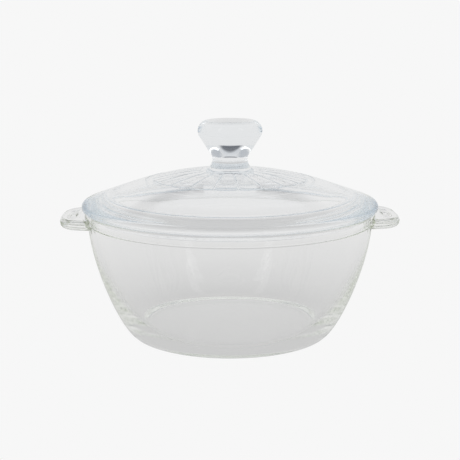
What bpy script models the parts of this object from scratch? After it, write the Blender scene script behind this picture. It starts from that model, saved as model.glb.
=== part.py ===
"""A covered casserole of pressed glass: a bowl with two tab handles, and a domed lid with a solid knob.

Units are metres and +Z is up. The handles point along +X and -X. The origin is the centre of the flat base.
"""

import math

import bmesh
import bpy
from mathutils import Matrix, Vector
from mathutils.geometry import interpolate_bezier

SEGMENTS = 60  # facets round each turned piece, three for each petal of the lid's sunburst
CLEARANCE = 0.0003  # gap where the lid rests on the dish

# Dish, outside
DISH_HEIGHT = 0.087
BASE_FLAT_RADIUS = 0.0664
HEEL_RADIUS = 0.0033  # rounding between the flat base and the wall
HEEL_LEAN = math.radians(69.5)  # how far the wall leans from upright where it leaves the heel
HEEL_PULL = 0.0088  # Bezier handle at the heel
WALL_TOP_RADIUS = 0.0979
WALL_TOP_Z = 0.080
WALL_TOP_LEAN = math.radians(3.5)
WALL_TOP_PULL = 0.033
BAND_RADIUS = 0.0988  # plain band round the rim, a small step proud of the wall
BAND_STEP_HEIGHT = 0.0004
RIM_ROUNDING = 0.0015

# Dish, inside
FLOOR_THICKNESS = 0.0040
FLOOR_RADIUS = 0.0555
FLOOR_PULL = 0.014
MOUTH_RADIUS = 0.0935
MOUTH_BOTTOM_Z = 0.083
MOUTH_LEAN = math.radians(2.0)
MOUTH_PULL = 0.036

# Tab handles
HANDLE_REACH = 0.1165
HANDLE_ROOT_X = 0.0916  # where the plan outline is widest
HANDLE_HALF_WIDTH = 0.0295
HANDLE_ROOT_RADIUS = 0.0957  # the root's inner edge, buried in the rim's glass
HANDLE_PLAN_POWER = 3.0  # exponent of the superellipse in plan
HANDLE_BOTTOM_Z = 0.0770
HANDLE_THICKNESS = 0.0067
HANDLE_EDGE_ROUNDING = 0.0026
HANDLE_OUTLINE_STEPS = 20
HANDLE_ROOT_STEPS = 4
GRIP_X = 0.1080  # long shallow hollow for the fingertips under each handle
GRIP_HALF_LENGTH = 0.018
GRIP_HALF_WIDTH = 0.0035
GRIP_DEPTH = 0.0010

# Lid, top
LID_RADIUS = 0.1017
LID_WIDEST_Z = 0.0901
DOME_TOP_Z = 0.1149  # where the dome's curve would cross the axis
DOME_RADIUS = 0.221
PLAIN_RADII = (0.069, 0.077)  # the dome outside the panel, which then runs out as a plain cone
RIM_ARC_RADIUS = 0.0031
RIM_ARC_START = 71  # degrees up from the widest point, where the cone meets the rim's rounding

# Lid, underside
LID_THICKNESS = 0.0045
SEAT_Z = DISH_HEIGHT + CLEARANCE
RING_OUTER_RADIUS = 0.0915
RING_INNER_RADIUS = 0.0868
RING_BOTTOM_Z = 0.0825
RING_ROUNDING = 0.0016
RING_CORNER_Z = 0.0895  # where the ring's inner face starts to turn in under the dome
RING_CORNER_SIZE = 0.0035
RING_CORNER_RISE = 0.0026
RING_CORNER_RUN = 0.0020
UNDERSIDE_RADII = (0.066, 0.046, 0.023, 0.0)

# Knob
KNOB_TOP_Z = 0.1482
KNOB_TOP_CROWN = 0.0002
KNOB_ARC_CENTRE_RADIUS = 0.0150
KNOB_ARC_RADIUS = 0.0071
KNOB_CONE_LEAN = math.radians(35)
NECK_RADIUS = 0.01205
NECK_Z = 0.1215
NECK_ARC_RADIUS = 0.0060
NECK_FLARE_PULL = 0.0035
FOOT_RADIUS = 0.0170  # where the neck's flare meets the dome
FOOT_PULL = 0.0022

# Sunburst panel round the knob
PETALS = 20
PETAL_PHASE = 0.24  # turn of the first petal's edge from +X, in petals
PETAL_START_RADIUS = 0.0185
PETAL_FULL_RADIUS = 0.026
PETAL_END_RADIUS = 0.054
PETAL_FADE = 0.005
PETAL_HEIGHT = 0.0004
RING_LINE_RADIUS = 0.0575
RING_LINE_HALF_WIDTH = 0.0025
RING_LINE_DEPTH = 0.0004
PANEL_RADII = (0.0185, 0.022, 0.026, 0.034, 0.042, 0.049, 0.054, 0.0575, 0.0605)


def clear_scene():
    for obj in list(bpy.data.objects):
        bpy.data.objects.remove(obj, do_unlink=True)


def glass(name, colour):
    material = bpy.data.materials.new(name)
    material.use_nodes = True
    shader = material.node_tree.nodes["Principled BSDF"]
    shader.inputs["Base Color"].default_value = (*colour, 1.0)
    shader.inputs["Roughness"].default_value = 0.03
    shader.inputs["Metallic"].default_value = 0.0
    shader.inputs["Transmission Weight"].default_value = 1.0
    shader.inputs["IOR"].default_value = 1.47
    return material


def add_object(name, bm, material=None):
    mesh = bpy.data.meshes.new(name)
    bm.to_mesh(mesh)
    bm.free()
    mesh.shade_smooth()
    mesh.set_sharp_from_angle(angle=math.radians(35))
    obj = bpy.data.objects.new(name, mesh)
    if material:
        mesh.materials.append(material)
    bpy.context.scene.collection.objects.link(obj)
    return obj


def arc(centre, radius, start, end, steps):
    """Points (r, z) on a circle, from one angle to the other in degrees, 0 pointing outwards and 90 up."""
    angles = [math.radians(start + (end - start) * i / steps) for i in range(steps + 1)]
    return [(centre[0] + radius * math.cos(a), centre[1] + radius * math.sin(a)) for a in angles]


def curve(start, start_pull, end_pull, end, steps):
    """Points (r, z) on a cubic Bezier curve. The pulls are vectors from each end to its handle."""
    a = Vector((*start, 0))
    b = Vector((*end, 0))
    first_handle = a + Vector((*start_pull, 0))
    last_handle = b + Vector((*end_pull, 0))
    return [(p.x, p.y) for p in interpolate_bezier(a, first_handle, last_handle, b, steps + 1)]


def pull(lean, length):
    """A vector that climbs, leaning outwards from upright by an angle."""
    return (length * math.sin(lean), length * math.cos(lean))


def reverse(vector):
    return (-vector[0], -vector[1])


def turned(profile):
    """The closed solid swept by a profile of (r, z) points that starts and ends on the axis."""
    bm = bmesh.new()
    verts = [bm.verts.new((r, 0, z)) for r, z in profile]
    edges = [bm.edges.new(pair) for pair in zip(verts, verts[1:])]
    bmesh.ops.spin(
        bm, geom=verts + edges, cent=(0, 0, 0), axis=(0, 0, 1), angle=math.tau, steps=SEGMENTS, use_merge=True
    )
    bmesh.ops.remove_doubles(bm, verts=bm.verts, dist=1e-6)
    bmesh.ops.recalc_face_normals(bm, faces=bm.faces)
    return bm


def dish_profile():
    heel_centre = (BASE_FLAT_RADIUS, HEEL_RADIUS)
    heel = arc(heel_centre, HEEL_RADIUS, -90, -math.degrees(HEEL_LEAN), 2)
    wall = curve(
        heel[-1],
        pull(HEEL_LEAN, HEEL_PULL),
        reverse(pull(WALL_TOP_LEAN, WALL_TOP_PULL)),
        (WALL_TOP_RADIUS, WALL_TOP_Z),
        10,
    )
    band_bottom = (BAND_RADIUS, WALL_TOP_Z + BAND_STEP_HEIGHT)
    rim_z = DISH_HEIGHT - RIM_ROUNDING
    rim_outer = arc((BAND_RADIUS - RIM_ROUNDING, rim_z), RIM_ROUNDING, 0, 90, 3)
    rim_inner = arc((MOUTH_RADIUS + RIM_ROUNDING, rim_z), RIM_ROUNDING, 90, 180, 3)
    inside = curve(
        (FLOOR_RADIUS, FLOOR_THICKNESS),
        (FLOOR_PULL, 0),
        reverse(pull(MOUTH_LEAN, MOUTH_PULL)),
        (MOUTH_RADIUS, MOUTH_BOTTOM_Z),
        10,
    )
    outer_side = heel + wall[1:] + [band_bottom] + rim_outer
    inner_side = rim_inner + inside[::-1]
    return [(0, 0)] + outer_side + inner_side + [(0, FLOOR_THICKNESS)]


def handle_outline():
    """Plan points of the right handle, round its outer edge and back along its root inside the rim."""
    power = 2 / HANDLE_PLAN_POWER
    reach = HANDLE_REACH - HANDLE_ROOT_X
    points = []
    for i in range(HANDLE_OUTLINE_STEPS + 1):
        a = math.pi * (i / HANDLE_OUTLINE_STEPS - 0.5)
        x = HANDLE_ROOT_X + reach * abs(math.cos(a)) ** power
        y = HANDLE_HALF_WIDTH * math.copysign(abs(math.sin(a)) ** power, a)
        points.append((x, y))
    root_angle = math.asin(HANDLE_HALF_WIDTH / HANDLE_ROOT_RADIUS)
    for i in range(1, HANDLE_ROOT_STEPS):
        a = root_angle * (1 - 2 * i / HANDLE_ROOT_STEPS)
        points.append((HANDLE_ROOT_RADIUS * math.cos(a), HANDLE_ROOT_RADIUS * math.sin(a)))
    return points


def handle_solid():
    bm = bmesh.new()
    bottom = bm.faces.new([bm.verts.new((x, y, HANDLE_BOTTOM_Z)) for x, y in handle_outline()])
    raised = bmesh.ops.extrude_face_region(bm, geom=[bottom])["geom"]
    top_verts = [v for v in raised if isinstance(v, bmesh.types.BMVert)]
    bmesh.ops.translate(bm, vec=(0, 0, HANDLE_THICKNESS), verts=top_verts)
    bmesh.ops.recalc_face_normals(bm, faces=bm.faces)
    edges = [e for e in bm.edges if is_handle_rim(e)]
    bmesh.ops.bevel(bm, geom=edges, offset=HANDLE_EDGE_ROUNDING, segments=2, profile=0.5, affect="EDGES")
    return bm


def is_handle_rim(edge):
    """True for the edges round the top and the bottom of the handle, but not along its buried root."""
    a, b = (v.co for v in edge.verts)
    level = abs(a.z - b.z) < 1e-6
    return level and max(math.hypot(a.x, a.y), math.hypot(b.x, b.y)) > BAND_RADIUS


def grip_cutter():
    """A flattened ball that cuts the long shallow hollow under the right handle."""
    bm = bmesh.new()
    bmesh.ops.create_uvsphere(bm, u_segments=16, v_segments=9, radius=1.0)
    half_height = 2 * GRIP_DEPTH
    widen = 1 / math.sqrt(1 - (1 - GRIP_DEPTH / half_height) ** 2)
    size = (GRIP_HALF_WIDTH * widen, GRIP_HALF_LENGTH * widen, half_height)
    bmesh.ops.scale(bm, vec=size, verts=bm.verts)
    centre_z = HANDLE_BOTTOM_Z + GRIP_DEPTH - half_height
    bmesh.ops.translate(bm, vec=(GRIP_X, 0, centre_z), verts=bm.verts)
    return bm


def add_helper(name, bm, turn):
    """A guide object for a Boolean, turned about the axis and left out of the part."""
    bmesh.ops.rotate(bm, cent=(0, 0, 0), matrix=Matrix.Rotation(turn, 3, "Z"), verts=bm.verts)
    obj = add_object(name, bm)
    obj.hide_render = True
    obj.display_type = "WIRE"
    return obj


def add_boolean(obj, operation, helper):
    boolean = obj.modifiers.new(helper.name, "BOOLEAN")
    boolean.operation = operation
    boolean.object = helper


def build_dish():
    dish = add_object("dish", turned(dish_profile()), glass("dish_glass", (0.93, 0.95, 0.90)))
    for side, turn in (("right", 0.0), ("left", math.pi)):
        add_boolean(dish, "UNION", add_helper(f"{side}_handle_guide", handle_solid(), turn))
        add_boolean(dish, "DIFFERENCE", add_helper(f"{side}_grip_guide", grip_cutter(), turn))
    return dish


def dome_z(radius, lower=0.0):
    """Height of the dome at a radius, on its top or on a surface that lies lower by some thickness."""
    centre_z = DOME_TOP_Z - DOME_RADIUS
    return centre_z + math.sqrt((DOME_RADIUS - lower) ** 2 - radius**2)


def knob_points():
    """From the knob's top centre down to the foot of its neck."""
    centre = (KNOB_ARC_CENTRE_RADIUS, KNOB_TOP_Z - KNOB_TOP_CROWN - KNOB_ARC_RADIUS)
    lean = math.degrees(KNOB_CONE_LEAN)
    shoulder = arc(centre, KNOB_ARC_RADIUS, 90, -lean, 7)
    neck_centre = (NECK_RADIUS + NECK_ARC_RADIUS, NECK_Z)
    neck = arc(neck_centre, NECK_ARC_RADIUS, 180 - lean, 180, 3)
    foot = curve(neck[-1], (0, -NECK_FLARE_PULL), (-FOOT_PULL, 0), (FOOT_RADIUS, dome_z(FOOT_RADIUS)), 4)
    return [(0, KNOB_TOP_Z)] + shoulder + neck + foot[1:]


def dome_points():
    """From the panel round the knob out to the lid's widest circle."""
    panel = [(r, dome_z(r)) for r in PANEL_RADII]
    plain = [(r, dome_z(r)) for r in PLAIN_RADII]
    rim_centre = (LID_RADIUS - RIM_ARC_RADIUS, LID_WIDEST_Z)
    return panel + plain + arc(rim_centre, RIM_ARC_RADIUS, RIM_ARC_START, 0, 5)


def underside_points():
    """From below the widest circle in over the seat, down round the locating ring and up under the dome."""
    undercut = LID_WIDEST_Z - SEAT_Z
    rim = arc((LID_RADIUS - undercut, LID_WIDEST_Z), undercut, 0, -90, 3)
    ring_z = RING_BOTTOM_Z + RING_ROUNDING
    ring_outer = arc((RING_OUTER_RADIUS - RING_ROUNDING, ring_z), RING_ROUNDING, 0, -90, 2)
    ring_inner = arc((RING_INNER_RADIUS + RING_ROUNDING, ring_z), RING_ROUNDING, -90, -180, 2)
    corner_start = (RING_INNER_RADIUS, RING_CORNER_Z)
    corner_radius = RING_INNER_RADIUS - RING_CORNER_SIZE
    corner_end = (corner_radius, dome_z(corner_radius, LID_THICKNESS))
    corner = curve(corner_start, (0, RING_CORNER_RISE), (RING_CORNER_RUN, 0), corner_end, 2)
    under = [(r, dome_z(r, LID_THICKNESS)) for r in UNDERSIDE_RADII]
    return rim[1:] + [(RING_OUTER_RADIUS, SEAT_Z)] + ring_outer + ring_inner + corner + under


def petal_relief(x, y):
    """How far the sunburst stands above the dome at a place in plan, or lies below it in the ring line."""
    radius = math.hypot(x, y)
    across = (math.atan2(y, x) / math.tau * PETALS - PETAL_PHASE) % 1.0
    crown = 1 - (2 * across - 1) ** 2
    rise = (radius - PETAL_START_RADIUS) / (PETAL_FULL_RADIUS - PETAL_START_RADIUS)
    fall = (PETAL_END_RADIUS - radius) / PETAL_FADE
    relief = PETAL_HEIGHT * crown * min(1.0, max(0.0, rise)) * min(1.0, max(0.0, fall))
    ring = max(0.0, 1 - abs(radius - RING_LINE_RADIUS) / RING_LINE_HALF_WIDTH)
    return relief - RING_LINE_DEPTH * ring


def build_lid():
    bm = turned(knob_points() + dome_points() + underside_points())
    for vert in bm.verts:
        radius = math.hypot(vert.co.x, vert.co.y)
        on_top = vert.co.z > dome_z(radius) - LID_THICKNESS / 2
        if on_top and PANEL_RADII[0] - 1e-4 < radius < PANEL_RADII[-1]:
            vert.co.z += petal_relief(vert.co.x, vert.co.y)
    return add_object("lid", bm, glass("lid_glass", (0.90, 0.94, 0.97)))


clear_scene()
build_dish()
build_lid()
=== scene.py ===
"""A covered casserole of clear pressed glass.

It is a dish with two tab handles and a domed lid with a solid knob. Both pieces are closed meshes
wrapped round the axis, section by section. Units are metres, +Z is up, and the handles point along
+X and -X.
"""

import math

import bpy
import numpy as np
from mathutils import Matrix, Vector
from mathutils.geometry import interpolate_bezier


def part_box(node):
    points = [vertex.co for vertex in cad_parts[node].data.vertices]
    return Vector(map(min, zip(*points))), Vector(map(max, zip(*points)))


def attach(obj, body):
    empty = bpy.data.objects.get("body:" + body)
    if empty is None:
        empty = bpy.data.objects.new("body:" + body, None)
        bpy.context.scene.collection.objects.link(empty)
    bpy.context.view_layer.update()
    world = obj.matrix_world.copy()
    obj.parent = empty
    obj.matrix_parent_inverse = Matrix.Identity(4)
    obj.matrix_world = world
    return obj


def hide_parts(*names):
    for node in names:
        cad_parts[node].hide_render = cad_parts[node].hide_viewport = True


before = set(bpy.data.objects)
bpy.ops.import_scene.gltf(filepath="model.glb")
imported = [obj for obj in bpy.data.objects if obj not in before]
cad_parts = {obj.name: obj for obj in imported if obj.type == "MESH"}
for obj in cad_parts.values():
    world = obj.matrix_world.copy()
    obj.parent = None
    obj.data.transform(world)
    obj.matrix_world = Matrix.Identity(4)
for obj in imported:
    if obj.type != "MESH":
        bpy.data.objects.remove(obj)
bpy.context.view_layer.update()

MM = 0.001

dish_low, dish_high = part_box("dish")
lid_low, lid_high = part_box("lid")

# Dish, outside
DISH_HEIGHT = dish_high[2]
BAND_RADIUS = dish_high[1]  # plain band round the rim, a small step proud of the wall
BASE_FLAT_RADIUS = 66.4 * MM
HEEL_RADIUS = 3.3 * MM  # rounding between the flat base and the wall
HEEL_LEAN = math.radians(69.5)  # how far the wall leans from upright where it leaves the heel
HEEL_PULL = 8.8 * MM  # Bezier handle at the heel
BAND_STEP = 0.9 * MM
WALL_TOP_RADIUS = BAND_RADIUS - BAND_STEP
WALL_TOP_Z = 80 * MM
WALL_TOP_LEAN = math.radians(3.5)
WALL_TOP_PULL = 33 * MM
BAND_GROOVE_RADIUS = 0.55 * MM  # half-round groove pressed in below the band
RIM_ROUNDING = 1.5 * MM

# Dish, inside
FLOOR_THICKNESS = 4.0 * MM
FLOOR_RADIUS = 55.5 * MM
FLOOR_PULL = 14 * MM
MOUTH_RADIUS = 93.5 * MM
MOUTH_BOTTOM_Z = 83 * MM
MOUTH_LEAN = math.radians(2)
MOUTH_PULL = 36 * MM

# Tab handles
HANDLE_REACH = dish_high[0]
HANDLE_ROOT_X = 91.6 * MM  # where the plan outline is widest
HANDLE_HALF_WIDTH = 29.5 * MM
HANDLE_PLAN_POWER = 3  # exponent of the superellipse that the handle is in plan
HANDLE_BOTTOM_Z = 77.0 * MM
HANDLE_THICKNESS = 6.7 * MM
HANDLE_EDGE = 2.6 * MM  # how far in from its outline the handle's edge is rounded
HANDLE_SIDE_FILLET = 3 * MM  # in plan, where the handle's sides meet the band
HANDLE_UNDER_FILLET = 1.5 * MM
HANDLE_TOP_FILLET = 1.2 * MM
HANDLE_BLEND = 1.2 * MM  # the handle's section fades in over this much reach
ZONE_BOTTOM_Z = 73 * MM  # the outer wall is resampled above this height to carry the handles
RIB_RADII = (101.2 * MM, 104.2 * MM, 107.2 * MM)  # low ribs on top of the handle, round the rim
RIB_HALF_WIDTH = 0.9 * MM
RIB_HEIGHT = 0.12 * MM
RIB_FADE = 4  # power of the handle's fullness by which the ribs die away at its edge
GRIP_X = 108 * MM  # long shallow hollow for the fingertips under each handle
GRIP_HALF_LENGTH = 18 * MM
GRIP_HALF_WIDTH = 3.5 * MM
GRIP_DEPTH = 1.0 * MM
GRIP_POWER = 1.5  # above 1 the hollow runs out softly at its edge
FILLET_ROUNDS = 20  # repeats that settle the side fillet's place
OUTLINE_HALVINGS = 50  # of the gap in which the handle's outline is looked for
# Angles in a quarter of the dish: from, to (degrees from the handle's middle), and steps between
QUARTER_ANGLES = ((0, 13, 18), (13, 19, 20), (19, 90, 57))

# Lid, top
LID_RADIUS = lid_high[1]
LID_WIDEST_Z = 90.1 * MM
DOME_TOP_Z = 114.9 * MM  # where the dome's curve would cross the axis
DOME_RADIUS = 221 * MM
DOME_END_RADIUS = 77 * MM  # beyond it the dome runs out as a plain cone
RIM_ARC_RADIUS = 3.1 * MM
RIM_ARC_START = 71  # degrees up from the widest point, where the cone meets the rim's rounding

# Lid, underside
LID_THICKNESS = 4.5 * MM
SEAT_GAP = 0.3 * MM  # between the lid and the dish's rim
SEAT_Z = DISH_HEIGHT + SEAT_GAP
RING_OUTER_RADIUS = 91.5 * MM
RING_INNER_RADIUS = 86.8 * MM
RING_BOTTOM_Z = lid_low[2]
RING_ROUNDING = 1.6 * MM
RING_CORNER_Z = 89.5 * MM  # where the ring's inner face starts to turn in under the dome
RING_CORNER_SIZE = 3.5 * MM
RING_CORNER_RISE = 2.6 * MM
RING_CORNER_RUN = 2.0 * MM

# Knob
KNOB_TOP_Z = lid_high[2]
KNOB_TOP_CROWN = 0.2 * MM
KNOB_ARC_CENTRE_RADIUS = 15 * MM
KNOB_ARC_RADIUS = 7.1 * MM
KNOB_UPPER_LEAN = 30  # degrees from upright, where the knob starts to run in to its neck
KNOB_LOWER_LEAN = 36  # degrees from upright, where it gets there
KNOB_TAPER_PULL = 4 * MM  # Bezier handles of the slightly bulging taper between the two
NECK_RADIUS = 12.05 * MM
NECK_Z = 121.5 * MM
NECK_ARC_RADIUS = 6 * MM
NECK_FLARE_PULL = 3.5 * MM
FOOT_RADIUS = 17 * MM  # where the neck's flare meets the dome
FOOT_PULL = 2.2 * MM

# Sunburst panel round the knob
PETALS = 20
PETAL_PHASE = 0.24  # turn of the first petal's edge from +X, in petals
PETAL_START_RADIUS = 18.5 * MM  # the relief fades in from here
PETAL_FULL_RADIUS = 24 * MM  # and is whole from here
PETAL_ARCH_RADIUS = 53.6 * MM  # the middle of a petal's round end
PETAL_ARCH_DEPTH = 1.6 * MM
PETAL_END_SLOPE = 0.7 * MM  # from a petal's flat down to the channel round the petals
PETAL_HEIGHT = 0.3 * MM
PETAL_CROWN = 0.02 * MM
GROOVE_SLOPE = 0.6 * MM  # from a petal's flat down to the middle of the groove
CHANNEL_OUTER_RADIUS = 58.3 * MM
CHANNEL_SLOPE = 0.5 * MM
CHANNEL_DEPTH = 0.38 * MM
PANEL_RADIUS = 61 * MM
PANEL_FINE_RADIUS = 50 * MM  # from here out the panel has closer rings, for its round ends and channel
ANGLES_PER_PETAL = 18
ANGLE_CROWDING = 0.75  # 0 spaces the angles evenly, towards 1 they crowd at the grooves

# Glass
GLASS_IOR = 1.47
DISH_TINT = (0.84, 0.86, 0.80)
DISH_TINT_DENSITY = 5
LID_TINT = (0.76, 0.83, 0.88)
LID_TINT_DENSITY = 6
WAVE_SCALE = 45  # faint waves left by the mould
WAVE_DETAIL = 2
WAVE_STRENGTH = 0.04
WAVE_DEPTH = 0.25 * MM
MARK_SCALE = 260  # handling marks
MARK_DETAIL = 4
MARK_RANGE = (0.45, 0.75)  # of the noise, from no mark to a full one
MARK_ROUGHNESS = 0.01
GLASS_BOUNCES = 200  # light runs a long way inside the glass before it leaves

# Camera
CAMERA_DISTANCE = 0.750
CAMERA_HEIGHT = 0.2229
CAMERA_TURN = math.radians(-1.75)  # it stands a little to the left of the handles' middle plane
CAMERA_PITCH = math.radians(11.41)  # it looks down by this much
CAMERA_LENS = 86.15  # this and the sensor's width are in millimetres, as Blender takes them
CAMERA_SENSOR = 36

# Floor
BACKDROP = 0.930  # linear grey of the studio's white paper as the camera sees it
FLOOR_HALF_SIZE = 6.0
FLOOR_DROP = 0.05 * MM  # how far below the dish's base the paper lies
SHADE_RADIUS = 0.5  # how far from the dish's middle the paper's painted shade reaches
# Linear grey of the painted shade that the glass sees on the paper, at distances from the dish's middle
# in metres
FLOOR_SHADE = ((0.0, 0.58), (0.08, 0.60), (0.12, 0.66), (0.2, 0.72), (0.35, 0.78), (0.5, 0.83))

# Room, as the glass sees it
PALE = (0.82, 0.82, 0.82)  # paper and walls
CEILING = (0.84, 0.84, 0.84)
GAP = (0.11, 0.12, 0.14)  # dark gap high up behind the casserole
DIM = (0.50, 0.52, 0.55)  # dimmer band high up in front
# Stops of colour against the height of the direction looked in, 0 level and 1 straight up
BACK_WALL = (
    (0.0, PALE),
    (0.40, PALE),
    (0.49, (0.72, 0.72, 0.74)),
    (0.53, GAP),
    (0.59, GAP),
    (0.63, (0.64, 0.66, 0.69)),
    (0.80, (0.76, 0.77, 0.78)),
    (0.90, CEILING),
)
FRONT_ROOM = (
    (0.0, PALE),
    (0.60, PALE),
    (0.70, DIM),
    (0.82, DIM),
    (0.92, CEILING),
)
# Sideways part of the direction, where the gap behind starts to show and where it shows in full
GAP_SIDES = (0.34, 0.18)
# Its part towards the back, where the front room ends and where the back wall shows in full
FRONT_TO_BACK = (-0.1, 0.3)

# Softboxes, one on each side
SOFTBOX_OUT = 0.9
SOFTBOX_FRONT = -0.9
SOFTBOX_HEIGHT = 1.1
SOFTBOX_AIM = (0, 0, 0.1)
SOFTBOX_SIZE = (0.22, 0.9)
SOFTBOX_POWER = 0.55  # watts


def line(start, end, steps):
    """Evenly spaced points or numbers, both ends included."""
    return np.linspace(start, end, steps + 1)


def arc(centre, radius, start, end, steps):
    """Points (r, z) on a circle, from one angle to the other, 0 degrees pointing outwards and 90 up."""
    angles = np.radians(line(start, end, steps))
    return np.stack([centre[0] + radius * np.cos(angles), centre[1] + radius * np.sin(angles)], axis=1)


def curve(start, start_pull, end_pull, end, steps):
    """Points (r, z) on a cubic Bezier curve. The pulls are vectors from each end to its handle."""
    a = Vector((*start, 0))
    b = Vector((*end, 0))
    first_handle = a + Vector((*start_pull, 0))
    last_handle = b + Vector((*end_pull, 0))
    points = interpolate_bezier(a, first_handle, last_handle, b, steps + 1)
    return np.array([(p.x, p.y) for p in points])


def pull(lean, length):
    """A vector that climbs, leaning outwards from upright by an angle."""
    return np.array([length * math.sin(lean), length * math.cos(lean)])


def joined(*parts):
    """One run of points from stretches that share their end points."""
    return np.concatenate([parts[0]] + [part[1:] for part in parts[1:]])


def spread(points, count):
    """The same run of points with its length shared out evenly."""
    steps = np.linalg.norm(np.diff(points, axis=0), axis=1)
    along = np.concatenate([[0], np.cumsum(steps)])
    places = np.linspace(0, along[-1], count)
    return np.stack([np.interp(places, along, points[:, k]) for k in range(2)], axis=1)


def smooth(t):
    """A soft step from 0 to 1."""
    t = np.clip(t, 0, 1)
    return t * t * (3 - 2 * t)


def wrapped(name, sections, angles):
    """A closed mesh: one (r, z) section at each angle, its two ends on the axis."""
    inner = sections[:, 1:-1]
    around, along = inner.shape[:2]
    x = inner[..., 0] * np.cos(angles)[:, None]
    y = inner[..., 0] * np.sin(angles)[:, None]
    verts = np.stack([x, y, inner[..., 1]], axis=-1).reshape(-1, 3)
    poles = [(0, 0, sections[0, 0, 1]), (0, 0, sections[0, -1, 1])]
    first_pole = len(verts)
    last_pole = first_pole + 1
    index = np.arange(around * along).reshape(around, along)
    after = np.roll(index, -1, axis=0)
    quads = np.stack([index[:, :-1], after[:, :-1], after[:, 1:], index[:, 1:]], axis=-1).reshape(-1, 4)
    faces = quads.tolist()
    faces += [(first_pole, int(b), int(a)) for a, b in zip(index[:, 0], after[:, 0])]
    faces += [(last_pole, int(a), int(b)) for a, b in zip(index[:, -1], after[:, -1])]
    mesh = bpy.data.meshes.new(name)
    mesh.from_pydata(verts.tolist() + poles, [], faces)
    mesh.shade_smooth()
    mesh.update()
    obj = bpy.data.objects.new(name, mesh)
    bpy.context.scene.collection.objects.link(obj)
    return obj


# ---------------------------------------------------------------- dish


def wall_points():
    """The heel's rounding, and the outer wall from there up to the groove below the band."""
    heel = arc((BASE_FLAT_RADIUS, HEEL_RADIUS), HEEL_RADIUS, -90, -math.degrees(HEEL_LEAN), steps=7)
    top = (WALL_TOP_RADIUS, WALL_TOP_Z - BAND_GROOVE_RADIUS)
    heel_pull = pull(HEEL_LEAN, HEEL_PULL)
    top_pull = -pull(WALL_TOP_LEAN, WALL_TOP_PULL)
    wall = curve(heel[-1], heel_pull, top_pull, top, steps=64)
    return heel, wall


def band_points():
    """From the wall's top round the groove below the band, out over its sharp edge and up the band."""
    groove = arc((WALL_TOP_RADIUS, WALL_TOP_Z), BAND_GROOVE_RADIUS, 270, 90, steps=10)
    edge = line(groove[-1], (BAND_RADIUS, WALL_TOP_Z + BAND_GROOVE_RADIUS), steps=3)
    band = line(edge[-1], (BAND_RADIUS, DISH_HEIGHT - RIM_ROUNDING), steps=12)
    return joined(groove, edge, band)


def side_y(x):
    """Half the handle's width at a place along it."""
    t = (x - HANDLE_ROOT_X) / (HANDLE_REACH - HANDLE_ROOT_X)
    return HANDLE_HALF_WIDTH * (1 - t**HANDLE_PLAN_POWER) ** (1 / HANDLE_PLAN_POWER)


def side_fillet_centre():
    """In plan, the centre of the fillet between the handle's side and the band."""
    reach = BAND_RADIUS + HANDLE_SIDE_FILLET
    x = BAND_RADIUS
    for _ in range(FILLET_ROUNDS):
        x = math.sqrt(reach**2 - (side_y(x) + HANDLE_SIDE_FILLET) ** 2)
    return np.array([x, side_y(x) + HANDLE_SIDE_FILLET])


FILLET_CENTRE = side_fillet_centre()
SIDE_ANGLE = math.atan2(FILLET_CENTRE[1] - HANDLE_SIDE_FILLET, FILLET_CENTRE[0])
ROOT_ANGLE = math.atan2(FILLET_CENTRE[1], FILLET_CENTRE[0])


def ellipse_level(x, y):
    """1 on the handle's outline, less inside it."""
    a = np.abs((x - HANDLE_ROOT_X) / (HANDLE_REACH - HANDLE_ROOT_X))
    b = np.abs(y / HANDLE_HALF_WIDTH)
    return (a**HANDLE_PLAN_POWER + b**HANDLE_PLAN_POWER) ** (1 / HANDLE_PLAN_POWER)


def outline_radius(angle):
    """How far out the handle's outline, or else the band, lies at an angle from the handle's middle."""
    angle = abs(angle)
    if angle >= ROOT_ANGLE:
        return BAND_RADIUS
    ray = np.array([math.cos(angle), math.sin(angle)])
    if angle > SIDE_ANGLE:
        along = float(FILLET_CENTRE @ ray)
        gap = float(FILLET_CENTRE @ FILLET_CENTRE) - HANDLE_SIDE_FILLET**2
        return along - math.sqrt(along**2 - gap)
    low, high = BAND_RADIUS, HANDLE_REACH + HANDLE_EDGE
    for _ in range(OUTLINE_HALVINGS):
        middle = (low + high) / 2
        if ellipse_level(*(middle * ray)) < 1:
            low = middle
        else:
            high = middle
    return low


def edge_distance(x, y):
    """How far inside the handle's plan outline a place is, near its edge."""
    y = np.abs(y)
    nudge = 0.01 * MM
    level = ellipse_level(x, y)
    slope_x = (ellipse_level(x + nudge, y) - ellipse_level(x - nudge, y)) / (2 * nudge)
    slope_y = (ellipse_level(x, y + nudge) - ellipse_level(x, y - nudge)) / (2 * nudge)
    from_tip = (1 - level) / np.hypot(slope_x, slope_y)
    from_fillet = np.hypot(x - FILLET_CENTRE[0], y - FILLET_CENTRE[1]) - HANDLE_SIDE_FILLET
    return np.maximum(np.where(x < FILLET_CENTRE[0], from_fillet, from_tip), 0)


def handle_faces(radius, angle):
    """Heights of the handle's underside and top at places in plan."""
    x = radius * np.cos(angle)
    y = radius * np.sin(angle)
    half = HANDLE_THICKNESS / 2
    inset = np.minimum(edge_distance(x, y) / HANDLE_EDGE, 1)
    fullness = np.sqrt(1 - (1 - inset) ** 2)
    middle = HANDLE_BOTTOM_Z + half
    grip = ((x - GRIP_X) / GRIP_HALF_WIDTH) ** 2 + (y / GRIP_HALF_LENGTH) ** 2
    lower = middle - half * fullness + GRIP_DEPTH * np.maximum(1 - grip, 0) ** GRIP_POWER
    rib = sum(np.maximum(1 - ((radius - r) / RIB_HALF_WIDTH) ** 2, 0) for r in RIB_RADII)
    upper = middle + half * fullness + RIB_HEIGHT * rib * fullness**RIB_FADE
    return lower, upper


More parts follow.
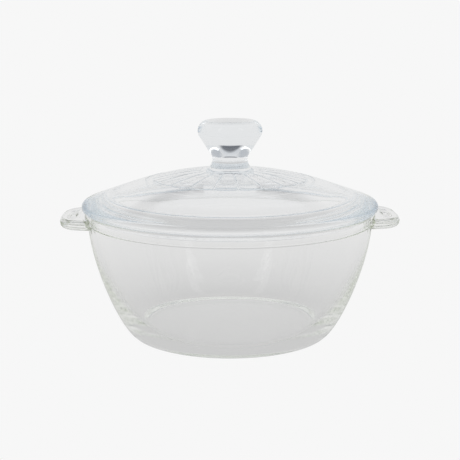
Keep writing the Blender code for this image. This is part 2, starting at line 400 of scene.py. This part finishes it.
def handle_section(angle, wall):
    """The outer wall with the handle on it, at an angle from the handle's middle."""
    reach = outline_radius(angle) - BAND_RADIUS
    under_fillet = min(HANDLE_UNDER_FILLET, reach / 2)
    top_fillet = min(HANDLE_TOP_FILLET, reach / 2)
    inner_radius = float(np.interp(HANDLE_BOTTOM_Z, wall[:, 1], wall[:, 0]))
    start = inner_radius + under_fillet
    under_z = float(handle_faces(np.array(max(start, BAND_RADIUS)), angle)[0])
    below_z = line(ZONE_BOTTOM_Z, under_z - under_fillet, steps=5)
    below = np.stack([np.interp(below_z, wall[:, 1], wall[:, 0]), below_z], axis=1)
    fillet = arc(below[-1] + (under_fillet, 0), under_fillet, 180, 90, steps=8)
    ease = np.sin(line(0, math.pi / 2, steps=34))
    end = BAND_RADIUS + reach
    radii = fillet[-1, 0] + (end - fillet[-1, 0]) * ease
    under = np.stack([radii, handle_faces(radii, angle)[0]], axis=1)
    radii = BAND_RADIUS + top_fillet + (reach - top_fillet) * ease[::-1]
    top = np.stack([radii, handle_faces(radii, angle)[1]], axis=1)
    corner = arc((BAND_RADIUS + top_fillet, top[-1, 1] + top_fillet), top_fillet, 270, 180, steps=8)
    above = line(corner[-1], (BAND_RADIUS, DISH_HEIGHT - RIM_ROUNDING), steps=3)
    return joined(below, fillet, under, top, corner, above)


def dish_angles():
    """Angles round the dish, closest where the handles' sides meet the band."""
    stretches = [line(start, end, steps)[:-1] for start, end, steps in QUARTER_ANGLES]
    quarter = np.radians(np.concatenate(stretches))
    half = np.concatenate([quarter, [math.pi / 2], math.pi - quarter[:0:-1]])
    return np.concatenate([half, half + math.pi])


def build_dish():
    heel, wall = wall_points()
    lower_wall = wall[wall[:, 1] < ZONE_BOTTOM_Z]
    corner = np.array([[np.interp(ZONE_BOTTOM_Z, wall[:, 1], wall[:, 0]), ZONE_BOTTOM_Z]])
    upper_wall = np.concatenate([corner, wall[wall[:, 1] > ZONE_BOTTOM_Z]])
    plain = joined(upper_wall, band_points())
    rim_z = DISH_HEIGHT - RIM_ROUNDING
    rim_outer = arc((BAND_RADIUS - RIM_ROUNDING, rim_z), RIM_ROUNDING, 0, 90, steps=8)
    rim_inner = arc((MOUTH_RADIUS + RIM_ROUNDING, rim_z), RIM_ROUNDING, 90, 180, steps=8)
    rim_top = line(rim_outer[-1], rim_inner[0], steps=4)
    mouth = line(rim_inner[-1], (MOUTH_RADIUS, MOUTH_BOTTOM_Z), steps=3)
    mouth_pull = -pull(MOUTH_LEAN, MOUTH_PULL)
    inside = curve(mouth[-1], mouth_pull, (FLOOR_PULL, 0), (FLOOR_RADIUS, FLOOR_THICKNESS), steps=50)
    base = line((0, 0), heel[0], steps=4)
    floor = line(inside[-1], (0, FLOOR_THICKNESS), steps=4)
    before = joined(base, heel, lower_wall)
    after = joined(rim_outer, rim_top, rim_inner, mouth, inside, floor)[1:]
    angles = dish_angles()
    sections = []
    for angle in angles:
        turn = (angle + math.pi / 2) % math.pi - math.pi / 2
        handle = handle_section(turn, wall)
        share = smooth((outline_radius(turn) - BAND_RADIUS) / HANDLE_BLEND)
        zone = spread(plain, len(handle))
        zone = zone + share * (handle - zone)
        sections.append(np.concatenate([before, zone, after]))
    return wrapped("glass_dish", np.array(sections), angles)


# ---------------------------------------------------------------- lid


def dome_z(radius, lower=0.0):
    """Height of the dome at a radius, on its top or on a surface that lies lower by some thickness."""
    return DOME_TOP_Z - DOME_RADIUS + np.sqrt((DOME_RADIUS - lower) ** 2 - np.square(radius))


def dome_line(radii, lower=0.0):
    """Points (r, z) of the dome at some radii."""
    return np.stack([radii, dome_z(radii, lower)], axis=1)


def knob_points():
    """From the knob's top centre down to the foot of its neck."""
    top_radii = line(0, KNOB_ARC_CENTRE_RADIUS, steps=7)
    crown = KNOB_TOP_Z - KNOB_TOP_CROWN * (top_radii / KNOB_ARC_CENTRE_RADIUS) ** 2
    top = np.stack([top_radii, crown], axis=1)
    centre = (KNOB_ARC_CENTRE_RADIUS, KNOB_TOP_Z - KNOB_TOP_CROWN - KNOB_ARC_RADIUS)
    shoulder = arc(centre, KNOB_ARC_RADIUS, 90, -KNOB_UPPER_LEAN, steps=28)
    neck_centre = (NECK_RADIUS + NECK_ARC_RADIUS, NECK_Z)
    neck = arc(neck_centre, NECK_ARC_RADIUS, 180 - KNOB_LOWER_LEAN, 180, steps=10)
    down = -pull(math.radians(KNOB_UPPER_LEAN), KNOB_TAPER_PULL)
    back = pull(math.radians(KNOB_LOWER_LEAN), KNOB_TAPER_PULL)
    taper = curve(shoulder[-1], down, back, neck[0], steps=16)
    foot_end = (FOOT_RADIUS, dome_z(FOOT_RADIUS))
    foot = curve(neck[-1], (0, -NECK_FLARE_PULL), (-FOOT_PULL, 0), foot_end, steps=14)
    return joined(top, shoulder, taper, neck, foot)


def dome_points():
    """From the foot of the neck out to the lid's widest circle."""
    coarse = line(FOOT_RADIUS, PANEL_FINE_RADIUS, steps=24)
    fine = line(PANEL_FINE_RADIUS, PANEL_RADIUS, steps=44)
    plain = line(PANEL_RADIUS, DOME_END_RADIUS, steps=8)
    dome = dome_line(joined(coarse, fine, plain))
    rim_centre = (LID_RADIUS - RIM_ARC_RADIUS, LID_WIDEST_Z)
    rim = arc(rim_centre, RIM_ARC_RADIUS, RIM_ARC_START, 0, steps=16)
    return joined(dome, line(dome[-1], rim[0], steps=10), rim)


def underside_points():
    """From the widest circle in over the seat, down round the locating ring and up under the dome."""
    undercut = LID_WIDEST_Z - SEAT_Z
    rim = arc((LID_RADIUS - undercut, LID_WIDEST_Z), undercut, 0, -90, steps=7)
    seat = line(rim[-1], (RING_OUTER_RADIUS, SEAT_Z), steps=6)
    ring_z = RING_BOTTOM_Z + RING_ROUNDING
    ring_outer = arc((RING_OUTER_RADIUS - RING_ROUNDING, ring_z), RING_ROUNDING, 0, -90, steps=6)
    ring_inner = arc((RING_INNER_RADIUS + RING_ROUNDING, ring_z), RING_ROUNDING, -90, -180, steps=6)
    corner_start = (RING_INNER_RADIUS, RING_CORNER_Z)
    corner_radius = RING_INNER_RADIUS - RING_CORNER_SIZE
    corner_end = (corner_radius, dome_z(corner_radius, LID_THICKNESS))
    corner = curve(corner_start, (0, RING_CORNER_RISE), (RING_CORNER_RUN, 0), corner_end, steps=10)
    under = dome_line(line(corner_radius, 0, steps=33), LID_THICKNESS)
    return joined(
        rim,
        seat,
        line(seat[-1], ring_outer[0], steps=4),
        ring_outer,
        line(ring_outer[-1], ring_inner[0], steps=2),
        ring_inner,
        line(ring_inner[-1], corner_start, steps=5),
        corner,
        under,
    )


def panel_relief(radius, angle):
    """How far the sunburst panel stands above the dome, or lies below it in its grooves and channel."""
    across = (angle / math.tau * PETALS - PETAL_PHASE) % 1.0
    side = np.abs(2 * across - 1)
    slope = (1 - side) * radius * math.pi / PETALS / GROOVE_SLOPE
    pillow = PETAL_HEIGHT * smooth(slope) + PETAL_CROWN * (1 - side**2)
    arch = PETAL_ARCH_RADIUS - PETAL_ARCH_DEPTH * (1 - np.sqrt(1 - side**2))
    fall = smooth((arch - radius) / PETAL_END_SLOPE)
    rise = smooth((radius - PETAL_START_RADIUS) / (PETAL_FULL_RADIUS - PETAL_START_RADIUS))
    channel = smooth((CHANNEL_OUTER_RADIUS - radius) / CHANNEL_SLOPE)
    return rise * (pillow * fall - CHANNEL_DEPTH * channel)


def lid_angles():
    """Angles round the lid, closest at the grooves between the petals."""
    place = np.arange(PETALS * ANGLES_PER_PETAL) / ANGLES_PER_PETAL
    place = place - ANGLE_CROWDING * np.sin(math.tau * place) / math.tau
    return (place + PETAL_PHASE) * math.tau / PETALS


def build_lid():
    knob = knob_points()
    dome = dome_points()
    section = joined(knob, dome, underside_points())
    angles = lid_angles()
    sections = np.repeat(section[None], len(angles), axis=0)
    panel = np.arange(len(knob) - 1, len(knob) + len(dome) - 1)
    panel = panel[section[panel, 0] < PANEL_RADIUS]
    sections[:, panel, 1] += panel_relief(section[panel, 0][None, :], angles[:, None])
    return wrapped("glass_lid", sections[:, ::-1], angles)


# ---------------------------------------------------------------- materials


def new_material(name):
    material = bpy.data.materials.new(name)
    material.use_nodes = True
    return material, material.node_tree.nodes, material.node_tree.links


def pressed_glass(name, tint_colour, tint_density):
    """Clear pressed glass: faint mould waves, a trace of handling marks, and a tint in its depth."""
    material, nodes, links = new_material(name)
    shader = nodes["Principled BSDF"]
    shader.inputs["Base Color"].default_value = (1, 1, 1, 1)
    shader.inputs["Transmission Weight"].default_value = 1.0
    shader.inputs["IOR"].default_value = GLASS_IOR
    place = nodes.new("ShaderNodeTexCoord")
    waves = nodes.new("ShaderNodeTexNoise")
    waves.inputs["Scale"].default_value = WAVE_SCALE
    waves.inputs["Detail"].default_value = WAVE_DETAIL
    marks = nodes.new("ShaderNodeTexNoise")
    marks.inputs["Scale"].default_value = MARK_SCALE
    marks.inputs["Detail"].default_value = MARK_DETAIL
    smudge = nodes.new("ShaderNodeMapRange")
    smudge.inputs["From Min"].default_value = MARK_RANGE[0]
    smudge.inputs["From Max"].default_value = MARK_RANGE[1]
    smudge.inputs["To Min"].default_value = 0.0
    smudge.inputs["To Max"].default_value = MARK_ROUGHNESS
    bump = nodes.new("ShaderNodeBump")
    bump.inputs["Strength"].default_value = WAVE_STRENGTH
    bump.inputs["Distance"].default_value = WAVE_DEPTH
    for texture in (waves, marks):
        links.new(place.outputs["Object"], texture.inputs["Vector"])
    links.new(marks.outputs["Fac"], smudge.inputs["Value"])
    links.new(smudge.outputs["Result"], shader.inputs["Roughness"])
    links.new(waves.outputs["Fac"], bump.inputs["Height"])
    links.new(bump.outputs["Normal"], shader.inputs["Normal"])
    tint = nodes.new("ShaderNodeVolumeAbsorption")
    tint.inputs["Color"].default_value = (*tint_colour, 1)
    tint.inputs["Density"].default_value = tint_density
    links.new(tint.outputs["Volume"], nodes["Material Output"].inputs["Volume"])
    return material


def ramp(nodes, links, value, stops):
    """A colour ramp: each stop is its place from 0 to 1 and its colour."""
    node = nodes.new("ShaderNodeValToRGB")
    elements = node.color_ramp.elements
    while len(elements) < len(stops):
        elements.new(0.5)
    for element, (place, colour) in zip(elements, stops):
        element.position = place
        element.color = (*colour, 1)
    links.new(value, node.inputs["Fac"])
    return node.outputs["Color"]


def floor_paper():
    """White paper, glowing evenly for the camera, with a painted shade round the glass that the glass
    then shows.
    """
    material, nodes, links = new_material("floor_paper")
    nodes.remove(nodes["Principled BSDF"])
    output = nodes["Material Output"]
    place = nodes.new("ShaderNodeTexCoord")
    spot = nodes.new("ShaderNodeVectorMath")
    spot.operation = "LENGTH"
    distance = nodes.new("ShaderNodeMath")
    distance.operation = "DIVIDE"
    distance.inputs[1].default_value = SHADE_RADIUS
    # painted shade of the paper round the glass: a glow graded darker towards the dish, for rays that
    # are not the camera's
    painted_shade = nodes.new("ShaderNodeEmission")
    seen = nodes.new("ShaderNodeEmission")
    seen.inputs["Strength"].default_value = BACKDROP
    ray = nodes.new("ShaderNodeLightPath")
    mix = nodes.new("ShaderNodeMixShader")
    links.new(place.outputs["Object"], spot.inputs[0])
    links.new(spot.outputs["Value"], distance.inputs[0])
    stops = [(radius / SHADE_RADIUS, (level, level, level)) for radius, level in FLOOR_SHADE]
    shade = ramp(nodes, links, distance.outputs["Value"], stops)
    links.new(shade, painted_shade.inputs["Color"])
    links.new(ray.outputs["Is Camera Ray"], mix.inputs["Fac"])
    links.new(painted_shade.outputs["Emission"], mix.inputs[1])
    links.new(seen.outputs["Emission"], mix.inputs[2])
    links.new(mix.outputs["Shader"], output.inputs["Surface"])
    return material


# ---------------------------------------------------------------- stage


def build_floor():
    mesh = bpy.data.meshes.new("floor")
    signs = ((-1, -1), (1, -1), (1, 1), (-1, 1))
    corners = [(x * FLOOR_HALF_SIZE, y * FLOOR_HALF_SIZE, -FLOOR_DROP) for x, y in signs]
    mesh.from_pydata(corners, [], [(0, 1, 2, 3)])
    floor = bpy.data.objects.new("floor", mesh)
    bpy.context.scene.collection.objects.link(floor)
    mesh.materials.append(floor_paper())


def build_world():
    """White paper to the camera, and to the glass a pale room, darker high up behind and in front."""
    world = bpy.data.worlds.new("studio")
    bpy.context.scene.world = world
    world.use_nodes = True
    nodes = world.node_tree.nodes
    links = world.node_tree.links
    nodes.clear()
    place = nodes.new("ShaderNodeTexCoord")
    split = nodes.new("ShaderNodeSeparateXYZ")
    links.new(place.outputs["Generated"], split.inputs["Vector"])
    back = ramp(nodes, links, split.outputs["Z"], BACK_WALL)
    front = ramp(nodes, links, split.outputs["Z"], FRONT_ROOM)
    across = nodes.new("ShaderNodeMath")
    across.operation = "ABSOLUTE"
    middle = nodes.new("ShaderNodeMapRange")
    middle.interpolation_type = "SMOOTHSTEP"
    middle.inputs["From Min"].default_value = GAP_SIDES[0]
    middle.inputs["From Max"].default_value = GAP_SIDES[1]
    wall = nodes.new("ShaderNodeMix")
    wall.data_type = "RGBA"
    wall.inputs["A"].default_value = (*PALE, 1)
    side = nodes.new("ShaderNodeMapRange")
    side.interpolation_type = "SMOOTHSTEP"
    side.inputs["From Min"].default_value = FRONT_TO_BACK[0]
    side.inputs["From Max"].default_value = FRONT_TO_BACK[1]
    blend = nodes.new("ShaderNodeMix")
    blend.data_type = "RGBA"
    room = nodes.new("ShaderNodeBackground")
    paper = nodes.new("ShaderNodeBackground")
    paper.inputs["Color"].default_value = (1, 1, 1, 1)
    paper.inputs["Strength"].default_value = BACKDROP
    ray = nodes.new("ShaderNodeLightPath")
    mix = nodes.new("ShaderNodeMixShader")
    output = nodes.new("ShaderNodeOutputWorld")
    links.new(split.outputs["Y"], side.inputs["Value"])
    links.new(side.outputs["Result"], blend.inputs["Factor"])
    links.new(front, blend.inputs["A"])
    links.new(split.outputs["X"], across.inputs["Value"])
    links.new(across.outputs["Value"], middle.inputs["Value"])
    links.new(middle.outputs["Result"], wall.inputs["Factor"])
    links.new(back, wall.inputs["B"])
    links.new(wall.outputs["Result"], blend.inputs["B"])
    links.new(blend.outputs["Result"], room.inputs["Color"])
    links.new(ray.outputs["Is Camera Ray"], mix.inputs["Fac"])
    links.new(room.outputs["Background"], mix.inputs[1])
    links.new(paper.outputs["Background"], mix.inputs[2])
    links.new(mix.outputs["Shader"], output.inputs["Surface"])


def add_softbox(name, x):
    light = bpy.data.lights.new(name, "AREA")
    light.shape = "RECTANGLE"
    light.size, light.size_y = SOFTBOX_SIZE
    light.energy = SOFTBOX_POWER
    lamp = bpy.data.objects.new(name, light)
    lamp.location = (x, SOFTBOX_FRONT, SOFTBOX_HEIGHT)
    lamp.rotation_euler = (Vector(SOFTBOX_AIM) - lamp.location).to_track_quat("-Z", "Y").to_euler()
    bpy.context.scene.collection.objects.link(lamp)


def build_camera():
    data = bpy.data.cameras.new("camera")
    data.lens = CAMERA_LENS
    data.sensor_width = CAMERA_SENSOR
    camera = bpy.data.objects.new("camera", data)
    x = CAMERA_DISTANCE * math.sin(CAMERA_TURN)
    y = -CAMERA_DISTANCE * math.cos(CAMERA_TURN)
    camera.location = (x, y, CAMERA_HEIGHT)
    aim = Vector((0, 0, CAMERA_HEIGHT - CAMERA_DISTANCE * math.tan(CAMERA_PITCH)))
    camera.rotation_euler = (aim - camera.location).to_track_quat("-Z", "Y").to_euler()
    bpy.context.scene.collection.objects.link(camera)
    bpy.context.scene.camera = camera


def set_colour_and_bounces():
    scene = bpy.context.scene
    scene.view_settings.view_transform = "Standard"
    scene.cycles.max_bounces = GLASS_BOUNCES
    scene.cycles.transmission_bounces = GLASS_BOUNCES
    scene.cycles.glossy_bounces = GLASS_BOUNCES


def place_piece(obj, body, material):
    """Stand a piece in for a body's one CAD node, which has the body's name."""
    obj.data.materials.append(material)
    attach(obj, body)
    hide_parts(body)


build_camera()
build_world()
build_floor()
add_softbox("left_softbox", -SOFTBOX_OUT)
add_softbox("right_softbox", SOFTBOX_OUT)
set_colour_and_bounces()

dish_glass = pressed_glass("dish_glass", DISH_TINT, DISH_TINT_DENSITY)
place_piece(build_dish(), "dish", dish_glass)
lid_glass = pressed_glass("lid_glass", LID_TINT, LID_TINT_DENSITY)
place_piece(build_lid(), "lid", lid_glass)
